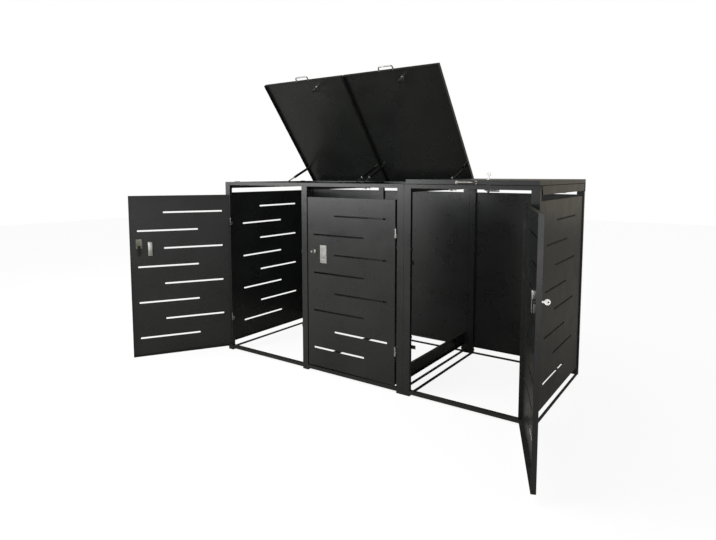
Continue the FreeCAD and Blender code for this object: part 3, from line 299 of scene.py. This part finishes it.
def powder_coat(name, wave_deep=0.0):
    """Baked powder: a faint cloud in the black, fine pebble, soft rubbed places, a trace of dust
    on top, and on sheet the long shallow waves of a thin panel."""
    material, tree, shader = finish_of(name)
    cloud = spread(tree, mottle(tree, CLOUD_PER_M), 0, 1)
    rubbed = spread(tree, mottle(tree, RUBBED_PER_M), 0, RUBBED_SHARE, *RUBBED_SPAN)
    tone = two_tone(tree, cloud, COAT_BLACK, tuple(CLOUD_BRIGHTER * part for part in COAT_BLACK))
    tone = two_tone(tree, rubbed, tone, COAT_WORN)
    dust = tree.nodes.new("ShaderNodeMath")
    dust.operation = "MULTIPLY"
    join(tree, upward(tree), dust.inputs[0])
    join(tree, spread(tree, mottle(tree, DUST_PER_M, 5.0), *DUST_SHARE), dust.inputs[1])
    tone = two_tone(tree, dust.outputs[0], tone, COAT_DUST)
    join(tree, tone, shader.inputs["Base Color"])
    gloss = spread(tree, mottle(tree, GLOSS_PER_M, 2.0), *COAT_ROUGH, *GLOSS_SPAN)
    join(tree, gloss, shader.inputs["Roughness"])
    surface = relief(tree, mottle(tree, PEBBLE_PER_M, 1.0), PEBBLE_DEEP, PEBBLE_STRENGTH)
    if wave_deep:
        waves = mottle(tree, WAVES_PER_M, 1.0)
        surface = relief(tree, waves, wave_deep, WAVES_STRENGTH, surface)
    join(tree, surface, shader.inputs["Normal"])
    return material


def dress(material, *names):
    """Gives CAD nodes a finish."""
    for name in names:
        mesh = nodes[name].data
        mesh.materials.clear()
        mesh.materials.append(material)


frame_coat = powder_coat("frame_coat")
dress(frame_coat, "front_posts", "back_posts", "front_top_rails", "back_top_rails",
      "side_top_rails", "front_sills", "floor_bars", "lock_keepers")

BAYS_X = ((-0.995, -0.372), (-0.332, 0.291), (0.372, 0.995))
FRONT_Y = -0.425
BACK_Y = 0.425
POST_D = 0.020
RAIL_UNDER = 1.105
SILL_OVER = 0.031
BAR_OVER = 0.024
BEAD_R = 0.0022
BEAD_WAIST = 0.86
BEAD_RIPPLE = 1.1
BEAD_STEPS = 12


def turned_shape(profile, steps=20):
    """A solid turned about z from points (radius, height). The line starts and ends on the axis,
    or where it began."""
    shape = bmesh.new()
    line = [shape.verts.new((radius, 0, height)) for radius, height in profile]
    edges = [shape.edges.new(pair) for pair in zip(line, line[1:])]
    bmesh.ops.spin(shape, geom=line + edges, axis=(0, 0, 1), cent=(0, 0, 0), angle=2 * pi,
                   steps=steps, use_merge=True)
    bmesh.ops.remove_doubles(shape, verts=shape.verts, dist=MERGE_WITHIN)
    bmesh.ops.recalc_face_normals(shape, faces=shape.faces)
    return shape


def weld_bead(radius, run):
    """A rippled bead along z, thickest in the middle of each ripple."""
    ripples = max(4, round(run / (BEAD_RIPPLE * radius)))
    profile = [(0, 0)]
    for number in range(2 * ripples + 1):
        swell = radius if number % 2 else BEAD_WAIST * radius
        profile.append((swell, run * number / (2 * ripples)))
    profile.append((0, run))
    return turned_shape(profile, BEAD_STEPS)


def placed(point, outward):
    """Where a shape that stands on z 0 goes, with its z turned outward."""
    turn = Vector(outward).to_track_quat("Z", "Y").to_matrix().to_4x4()
    return Matrix.Translation(point) @ turn


def add_pieces(name, body, finish, shape, places):
    """One object of the scene: a shape set at each place, riding on a body."""
    single = bpy.data.meshes.new(name + "_one")
    shape.to_mesh(single)
    shape.free()
    whole = bmesh.new()
    for place in places:
        had = len(whole.verts)
        whole.from_mesh(single)
        whole.verts.ensure_lookup_table()
        bmesh.ops.transform(whole, matrix=place, verts=whole.verts[had:])
    bpy.data.meshes.remove(single)
    mesh = bpy.data.meshes.new(name)
    whole.to_mesh(mesh)
    whole.free()
    mesh.shade_smooth()
    mesh.set_sharp_from_angle(angle=SHARP_FROM)
    mesh.materials.append(finish)
    piece = bpy.data.objects.new(name, mesh)
    bpy.context.scene.collection.objects.link(piece)
    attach(piece, body)
    return piece


def frame_welds():
    places = []
    for left_x, right_x in BAYS_X:
        for x in (left_x, right_x):
            places.append(placed((x, FRONT_Y, SILL_OVER), (0, 1, 0)))
            places.append(placed((x, BACK_Y - POST_D, BAR_OVER), (0, 1, 0)))
            places.append(placed((x, FRONT_Y, RAIL_UNDER), (0, 1, 0)))
    add_pieces("frame_welds", "frame", frame_coat, weld_bead(BEAD_R, POST_D), places)


frame_welds()


# Plugs of moulded black plastic, pressed into the open ends of the posts and the top rails. Those
# of the posts are the store's feet, and all are a little scuffed.

PLUG_BLACK = (0.012, 0.012, 0.012)
PLUG_SCUFFED = (0.035, 0.034, 0.032)
PLUG_ROUGH = (0.45, 0.6)
SCUFFS_PER_M = 60.0
SCUFFS_SPAN = (0.5, 0.75)
SHEEN_PER_M = 25.0
MOULD_GRAIN_PER_M = 900.0
MOULD_GRAIN_DEEP = 0.0001
MOULD_GRAIN_STRENGTH = 0.4


def moulded_plastic(name, black, scuffed, rough):
    material, tree, shader = finish_of(name)
    scuffs = spread(tree, mottle(tree, SCUFFS_PER_M, 5.0), 0, 1, *SCUFFS_SPAN)
    join(tree, two_tone(tree, scuffs, black, scuffed), shader.inputs["Base Color"])
    join(tree, spread(tree, mottle(tree, SHEEN_PER_M), *rough), shader.inputs["Roughness"])
    grain = mottle(tree, MOULD_GRAIN_PER_M, 1.0)
    grain = relief(tree, grain, MOULD_GRAIN_DEEP, MOULD_GRAIN_STRENGTH)
    join(tree, grain, shader.inputs["Normal"])
    return material


dress(moulded_plastic("plug_plastic", PLUG_BLACK, PLUG_SCUFFED, PLUG_ROUGH), "tube_plugs")


# Side and back panels and the low tie plate: 1.5 mm sheet, folded at its edges and powder coated
# as the frame is, a little wavy as thin sheet is. Domed rivets through the folded edges hold the
# side panels to the posts.

PANEL_WAVE = 0.0006
sheet_coat = powder_coat("sheet_coat", PANEL_WAVE)
dress(sheet_coat, "left_side_panel", "right_side_panel", "back_panels", "low_tie_plate")

PANEL_INSIDE_X = 1.0285
RIVET_Y = 0.360
RIVET_Z = (0.110, 1.000)
RIVET_HEAD = ((0, 0.0019), (0.0018, 0.0017), (0.0032, 0.0010), (0.0040, 0.0002), (0.0040, 0),
              (0, 0))


def panel_rivets():
    places = []
    for side in (-1, 1):
        for y in (-RIVET_Y, RIVET_Y):
            for z in RIVET_Z:
                places.append(placed((side * PANEL_INSIDE_X, y, z), (-side, 0, 0)))
    add_pieces("panel_rivets", "frame", sheet_coat, turned_shape(RIVET_HEAD), places)


panel_rivets()


# Joining bolts: hexagon bolts and nuts of dark zinc-plated steel, which hold the extension to the
# two-bay unit through the posts that stand side by side, with a washer on each outer flank.

BOLT_ZINC = (0.07, 0.07, 0.07)
BOLT_ZINC_DULL = (0.04, 0.04, 0.04)
BOLT_ROUGH = (0.34, 0.48)
ZINC_GRAIN_PER_M = 260.0
METAL_GRAIN_DEEP = 0.00005
METAL_GRAIN_STRENGTH = 0.5
PATCHES_PER_M = 45.0
METAL_GLOSS_PER_M = 30.0


def plated_steel(name, bright, dull, rough, grain_per_m, stretch=(1, 1, 1), deep=METAL_GRAIN_DEEP):
    """Bare or plated metal: dull patches, uneven gloss and a fine grain."""
    material, tree, shader = finish_of(name)
    shader.inputs["Metallic"].default_value = 1
    patches = spread(tree, mottle(tree, PATCHES_PER_M, 4.0), 0, 1)
    join(tree, two_tone(tree, patches, bright, dull), shader.inputs["Base Color"])
    gloss = spread(tree, mottle(tree, METAL_GLOSS_PER_M, 4.0), *rough)
    join(tree, gloss, shader.inputs["Roughness"])
    grain = relief(tree, mottle(tree, grain_per_m, 2.0, stretch), deep, METAL_GRAIN_STRENGTH)
    join(tree, grain, shader.inputs["Normal"])
    return material


bolt_zinc = plated_steel("bolt_zinc", BOLT_ZINC, BOLT_ZINC_DULL, BOLT_ROUGH, ZINC_GRAIN_PER_M)
dress(bolt_zinc, "joining_bolts")

UNIT_FLANKS_X = ((0.291, -1), (0.372, 1))
BOLT_PLACES = ((-0.415, 0.320), (-0.415, 0.790), (0.415, 1.071))
WASHER = ((0.0040, 0), (0.0040, 0.0012), (0.0088, 0.0012), (0.0092, 0.0008), (0.0092, 0),
          (0.0040, 0))
WASHER_STEPS = 28


def joining_washers():
    places = []
    for x, way in UNIT_FLANKS_X:
        for y, z in BOLT_PLACES:
            places.append(placed((x, y, z), (way, 0, 0)))
    add_pieces("joining_washers", "frame", bolt_zinc, turned_shape(WASHER, WASHER_STEPS),
               places)


joining_washers()


# Doors: one sheet each, with air slots cut in it and its edges folded back, coated as the panels
# are. Door 1 hangs on its left post and doors 2 and 3 on their right ones. Doors 1 and 3 stand
# open.

DOORS = (1, 2, 3)
DOOR_PIN_X = {1: -0.989, 2: 0.285, 3: 0.989}
DOOR_PIN_Y = -0.430
DOOR_SIDE = {1: 1, 2: -1, 3: -1}
DOOR_OPEN = {1: 121.6, 2: 0.0, 3: 113.0}

dress(sheet_coat, *(f"door_{door}_pan" for door in DOORS))


def door_place(door, along, y, z, outward):
    """A place on a door from its hinge pin: along the door, to its back, and up."""
    side = DOOR_SIDE[door]
    hung = Matrix.Translation((DOOR_PIN_X[door], DOOR_PIN_Y, 0))
    swung = hung @ Matrix.Rotation(radians(-side * DOOR_OPEN[door]), 4, "Z")
    return swung @ placed((side * along, y, z), (side * outward[0], outward[1], outward[2]))


# Door hinges: two lift-off hinges a door, of bright zinc-plated steel, each half held by two
# countersunk screws. The lower knuckle and its pin sit on the post, the upper knuckle on the
# folded edge of the door.

HINGE_ZINC = (0.66, 0.66, 0.64)
HINGE_ZINC_DULL = (0.48, 0.48, 0.46)
HINGE_ROUGH = (0.25, 0.38)
HINGE_GRAIN_PER_M = 300.0
hinge_zinc = plated_steel("hinge_zinc", HINGE_ZINC, HINGE_ZINC_DULL, HINGE_ROUGH, HINGE_GRAIN_PER_M)
dress(hinge_zinc, "door_hinge_frame_leaves", *(f"door_{door}_hinge_leaves" for door in DOORS))

SCREW_HEAD = ((0, 0.0003), (0.0007, 0.0003), (0.0009, 0.0008), (0.0018, 0.0007),
              (0.0025, 0.0002), (0.0026, 0), (0, 0))
KNUCKLE_MIDDLES = (0.2173, 0.8543)
DOOR_LEAF_UP = 0.0249
LEAF_FACE = 0.004
LEAF_SCREWS_Y = (0.0105, 0.0185)


def door_hinge_screws():
    held = []
    for door in DOORS:
        side = DOOR_SIDE[door]
        hung = []
        for z in KNUCKLE_MIDDLES:
            for y in LEAF_SCREWS_Y:
                point = (DOOR_PIN_X[door] - side * LEAF_FACE, DOOR_PIN_Y + y, z)
                held.append(placed(point, (side, 0, 0)))
                hung.append(door_place(door, LEAF_FACE, y, z + DOOR_LEAF_UP, (-1, 0, 0)))
        add_pieces(f"door_{door}_hinge_screws", f"door_{door}", hinge_zinc,
                   turned_shape(SCREW_HEAD), hung)
    add_pieces("post_hinge_screws", "frame", hinge_zinc, turned_shape(SCREW_HEAD),
               held)


door_hinge_screws()


# Flush pulls of satin stainless steel, brushed up and down: a plate on the face of the door with a
# recess for the fingers, clamped from behind by a pressed box with rounded edges.

SATIN = (0.56, 0.56, 0.55)
SATIN_DULL = (0.46, 0.46, 0.45)
SATIN_ROUGH = (0.24, 0.34)
BRUSHED_PER_M = 1400.0
BRUSHED_WAY = (1, 1, 0.03)
BRUSHED_DEEP = 0.00008
satin_steel = plated_steel("satin_steel", SATIN, SATIN_DULL, SATIN_ROUGH, BRUSHED_PER_M,
                           BRUSHED_WAY, BRUSHED_DEEP)
dress(satin_steel, *(f"door_{door}_pull" for door in DOORS))

PULL_ALONG = 0.493
PULL_Z = 0.714
CLAMP_FROM = 0.0066
CLAMP_W = 0.0286
CLAMP_H = 0.0880
CLAMP_D = 0.0230
CLAMP_ROUND = 0.0040


def clamp_box():
    """A box on z 0, with all its edges but those of its foot rounded."""
    box = bmesh.new()
    bmesh.ops.create_cube(box, size=1)
    bmesh.ops.scale(box, vec=(CLAMP_W, CLAMP_H, CLAMP_D), verts=box.verts)
    bmesh.ops.translate(box, vec=(0, 0, CLAMP_D / 2), verts=box.verts)
    rounded = [edge for edge in box.edges if any(vert.co.z > CLAMP_D / 2 for vert in edge.verts)]
    bmesh.ops.bevel(box, geom=rounded, offset=CLAMP_ROUND, affect="EDGES", segments=4,
                    profile=0.5, material=-1)
    return box


for door in DOORS:
    behind = [door_place(door, PULL_ALONG, CLAMP_FROM, PULL_Z, (0, 1, 0))]
    add_pieces(f"door_{door}_pull_clamp", f"door_{door}", satin_steel, clamp_box(),
               behind)


# Door locks: a zinc-plated case behind the sheet, held by four screws, with its ring on the face,
# and a nickel-plated plug that carries the key. The black cam at the plug's end turns behind its
# keeper on the post.

CASE_ZINC = (0.24, 0.24, 0.20)
CASE_ZINC_DULL = (0.16, 0.16, 0.13)
CASE_ROUGH = (0.32, 0.48)
SCREW_ZINC = (0.56, 0.56, 0.54)
SCREW_ZINC_DULL = (0.36, 0.36, 0.35)
SCREW_ROUGH = (0.28, 0.45)
NICKEL = (0.80, 0.79, 0.76)
NICKEL_DULL = (0.68, 0.67, 0.64)
NICKEL_ROUGH = (0.24, 0.36)
NICKEL_GRAIN_PER_M = 400.0
CAM_BLACK = (0.003, 0.003, 0.003)
CAM_ROUGH = 0.60
CAM_EDGE = 0.0002
LOCK_Z = 0.727
LOCK_ALONG = 0.557
CASE_FACE_Y = 0.0165
CAM_FROM = 0.028
CASE_SCREWS = ((-0.013, -0.004), (0.013, -0.004), (-0.013, 0.043), (0.013, 0.043))

case_zinc = plated_steel("case_zinc", CASE_ZINC, CASE_ZINC_DULL, CASE_ROUGH, ZINC_GRAIN_PER_M)
zinc = plated_steel("zinc", SCREW_ZINC, SCREW_ZINC_DULL, SCREW_ROUGH, ZINC_GRAIN_PER_M)
dress(case_zinc, *(f"door_{door}_lock_case" for door in DOORS))


def plug_metal(name, cam):
    """Nickel for the key and the plug, black oxide for the cam, which lies past the foot of the
    place given for it."""
    material = plated_steel(name, NICKEL, NICKEL_DULL, NICKEL_ROUGH, NICKEL_GRAIN_PER_M)
    tree = material.node_tree
    shader = tree.nodes["Principled BSDF"]
    way = cam.to_3x3() @ Vector((0, 0, 1))
    level = cam.translation.dot(way)
    place = tree.nodes.new("ShaderNodeTexCoord")
    reach = reach_along(tree, place.outputs["Object"], way)
    past = spread(tree, reach, 0, 1, level - CAM_EDGE, level + CAM_EDGE)
    bare = shader.inputs["Base Color"].links[0].from_socket
    join(tree, two_tone(tree, past, bare, CAM_BLACK), shader.inputs["Base Color"])
    join(tree, spread(tree, past, 1, 0, 0, 1), shader.inputs["Metallic"])
    gloss = shader.inputs["Roughness"].links[0].from_socket
    matt = tree.nodes.new("ShaderNodeMath")
    matt.operation = "MAXIMUM"
    join(tree, gloss, matt.inputs[0])
    join(tree, spread(tree, past, 0, CAM_ROUGH, 0, 1), matt.inputs[1])
    join(tree, matt.outputs[0], shader.inputs["Roughness"])
    return material


for door in DOORS:
    cam = door_place(door, LOCK_ALONG, CAM_FROM, LOCK_Z, (0, 1, 0))
    dress(plug_metal(f"door_{door}_plug_metal", cam), f"door_{door}_lock_plug")
    screws = [door_place(door, LOCK_ALONG + x, CASE_FACE_Y, LOCK_Z + z, (0, 1, 0))
              for x, z in CASE_SCREWS]
    add_pieces(f"door_{door}_lock_screws", f"door_{door}", zinc, turned_shape(SCREW_HEAD),
               screws)


# Lids: one sheet each, powder coated as the panels are, folded to a lip in front, to edges at the
# sides and to a deep flange behind, which carries the hinges. Lids 1 and 2 stand open.

LIDS = (1, 2, 3)
LID_LEFT = {1: -1.036, 2: -0.3475, 3: 0.349}
LID_WIDE = {1: 0.6795, 2: 0.6795, 3: 0.687}
LID_MIDDLE = {1: 0.3525, 2: 0.327, 3: 0.3345}
LID_PIN_Y = 0.4323
LID_PIN_Z = 1.072
LID_OPEN = {1: 52.0, 2: 52.0, 3: 0.0}

dress(sheet_coat, *(f"lid_{lid}_pan" for lid in LIDS))


def lid_place(lid, x, y, z, outward):
    """A place on a lid, from the left end of its hinge pin's line, as it lies closed."""
    hung = Matrix.Translation((LID_LEFT[lid], LID_PIN_Y, LID_PIN_Z))
    lifted = hung @ Matrix.Rotation(radians(-LID_OPEN[lid]), 4, "X")
    return lifted @ placed((x, y, z), outward)


# Lid hinges and strut brackets: leaves of bright zinc-plated steel on the lid's rear flange, each
# held by three screws, leaves with pins on the back rails, and the studs on the side rails that
# carry the struts.

dress(hinge_zinc, "lid_hinge_frame_leaves", *(f"lid_{lid}_fittings" for lid in LIDS),
      "strut_rail_studs")

LID_LEAF_BACK = -0.0008
LID_LEAF_UP = 0.027
LID_HINGE_IN = 0.110
LID_HINGE_RUN = 0.0606
LID_SCREWS_X = (0.010, 0.0303, 0.0506)


def lid_hinge_screws(lid):
    starts = (LID_HINGE_IN, LID_WIDE[lid] - LID_HINGE_IN - LID_HINGE_RUN)
    places = [lid_place(lid, start + x, LID_LEAF_BACK, LID_LEAF_UP, (0, 1, 0))
              for start in starts for x in LID_SCREWS_X]
    add_pieces(f"lid_{lid}_hinge_screws", f"lid_{lid}", hinge_zinc,
               turned_shape(SCREW_HEAD), places)


for lid in LIDS:
    lid_hinge_screws(lid)


# Lid handles: a bow of chromed round bar on the lip of each lid, through two washers, and held
# inside the lip by a domed nut on each end.

HANDLE_CHROME = (0.42, 0.40, 0.38)
HANDLE_CHROME_DULL = (0.34, 0.32, 0.30)
HANDLE_ROUGH = (0.16, 0.26)
CHROME_GRAIN_PER_M = 500.0
handle_chrome = plated_steel("handle_chrome", HANDLE_CHROME, HANDLE_CHROME_DULL, HANDLE_ROUGH,
                             CHROME_GRAIN_PER_M)
dress(handle_chrome, *(f"lid_{lid}_handle" for lid in LIDS))

LIP_INSIDE_Y = -0.8678
HANDLE_UP = 0.066
HANDLE_HALF = 0.050
NUT_R = 0.0056
NUT_T = 0.0040
NUT_EDGE = 0.0006
NUT_CAP = ((0, 0.0068), (0.0020, 0.0063), (0.0036, 0.0052), (0.0042, 0.0038), (0, 0.0038))


def cap_nut():
    """Six flats with a domed cap."""
    nut = bmesh.new()
    bmesh.ops.create_cone(nut, cap_ends=True, segments=6, radius1=NUT_R, radius2=NUT_R, depth=NUT_T)
    bmesh.ops.translate(nut, vec=(0, 0, NUT_T / 2), verts=nut.verts)
    upper = [edge for edge in nut.edges if all(vert.co.z > NUT_T / 2 for vert in edge.verts)]
    bmesh.ops.bevel(nut, geom=upper, offset=NUT_EDGE, affect="EDGES", segments=2, profile=0.5,
                    material=-1)
    cap = turned_shape(NUT_CAP)
    dome = bpy.data.meshes.new("cap")
    cap.to_mesh(dome)
    cap.free()
    nut.from_mesh(dome)
    bpy.data.meshes.remove(dome)
    return nut


for lid in LIDS:
    feet = [lid_place(lid, LID_MIDDLE[lid] + x, LIP_INSIDE_Y, HANDLE_UP, (0, 1, 0))
            for x in (-HANDLE_HALF, HANDLE_HALF)]
    add_pieces(f"lid_{lid}_handle_nuts", f"lid_{lid}", handle_chrome, cap_nut(), feet)


# Lid locks: cam locks as those of the doors, through the top of each lid near its lip. The black
# cam is held on the plug by a nut, under the lid, and turns behind a lug on the front rail.

dress(zinc, *(f"lid_{lid}_lock_case" for lid in LIDS))

CAM_OXIDE = (0.05, 0.05, 0.05)
CAM_OXIDE_DULL = (0.03, 0.03, 0.03)
CAM_OXIDE_ROUGH = (0.35, 0.50)
LID_LOCK_X = 0.087
LID_LOCK_Y = -0.8053
LID_CAM_UP = 0.0246
CAM_T = 0.0025
cam_oxide = plated_steel("cam_oxide", CAM_OXIDE, CAM_OXIDE_DULL, CAM_OXIDE_ROUGH, HINGE_GRAIN_PER_M)

for lid in LIDS:
    cam = lid_place(lid, LID_MIDDLE[lid] + LID_LOCK_X, LID_LOCK_Y, LID_CAM_UP, (0, 0, -1))
    dress(plug_metal(f"lid_{lid}_plug_metal", cam), f"lid_{lid}_lock_plug")
    under = [cam @ Matrix.Translation((0, 0, CAM_T))]
    add_pieces(f"lid_{lid}_cam_nut", f"lid_{lid}_lock", cam_oxide, cap_nut(), under)


# Gas struts, two a lid: a cylinder of black enamelled steel with its eye on the lid's bracket, a
# ground and chromed rod with its eye on the stud of the side rail, and the rolled ring that closes
# the cylinder's mouth around the rod.

ENAMEL_BLACK = (0.010, 0.010, 0.010)
ENAMEL_SCUFFED = (0.016, 0.016, 0.016)
ENAMEL_ROUGH = (0.22, 0.32)
ROD_CHROME = (0.78, 0.78, 0.78)
ROD_CHROME_DULL = (0.68, 0.68, 0.68)
ROD_ROUGH = (0.08, 0.16)
STRUT_X = {(1, "left"): -1.003, (1, "right"): -0.384, (2, "left"): -0.320, (2, "right"): 0.299,
           (3, "left"): 0.364, (3, "right"): 1.003}
STRUT_ARM = (-0.1533, 0.060)
RAIL_PIVOT = (0.072, 1.092)
GLAND_REACH = 0.1899
GLAND_RING = ((0.0042, 0), (0.0042, 0.0016), (0.0062, 0.0016), (0.0076, 0.0009), (0.0080, 0),
              (0.0042, 0))
GLAND_STEPS = 24

strut_enamel = moulded_plastic("strut_enamel", ENAMEL_BLACK, ENAMEL_SCUFFED, ENAMEL_ROUGH)
rod_chrome = plated_steel("rod_chrome", ROD_CHROME, ROD_CHROME_DULL, ROD_ROUGH, CHROME_GRAIN_PER_M)


def strut_mouth(lid, side):
    """Where a strut's cylinder ends, looking down its rod."""
    turn = radians(LID_OPEN[lid])
    y = LID_PIN_Y + STRUT_ARM[0] * cos(turn) + STRUT_ARM[1] * sin(turn)
    z = LID_PIN_Z - STRUT_ARM[0] * sin(turn) + STRUT_ARM[1] * cos(turn)
    down = Vector((0, RAIL_PIVOT[0] - y, RAIL_PIVOT[1] - z)).normalized()
    return placed(Vector((STRUT_X[lid, side], y, z)) + GLAND_REACH * down, down)


for lid, side in STRUT_X:
    cylinder = f"lid_{lid}_{side}_strut_cylinder"
    dress(strut_enamel, cylinder)
    dress(rod_chrome, f"lid_{lid}_{side}_strut_rod")
    add_pieces(f"{cylinder}_gland", cylinder, zinc, turned_shape(GLAND_RING, GLAND_STEPS),
               [strut_mouth(lid, side)])


# Pads of black rubber, glued on the side rails, on which the folded edges of the closed lids rest.
# The rubber is matt and a little grey where the lids press it.

RUBBER_BLACK = (0.010, 0.010, 0.010)
RUBBER_PRESSED = (0.030, 0.029, 0.027)
RUBBER_ROUGH = (0.65, 0.8)
dress(moulded_plastic("pad_rubber", RUBBER_BLACK, RUBBER_PRESSED, RUBBER_ROUGH), "lid_buffers")
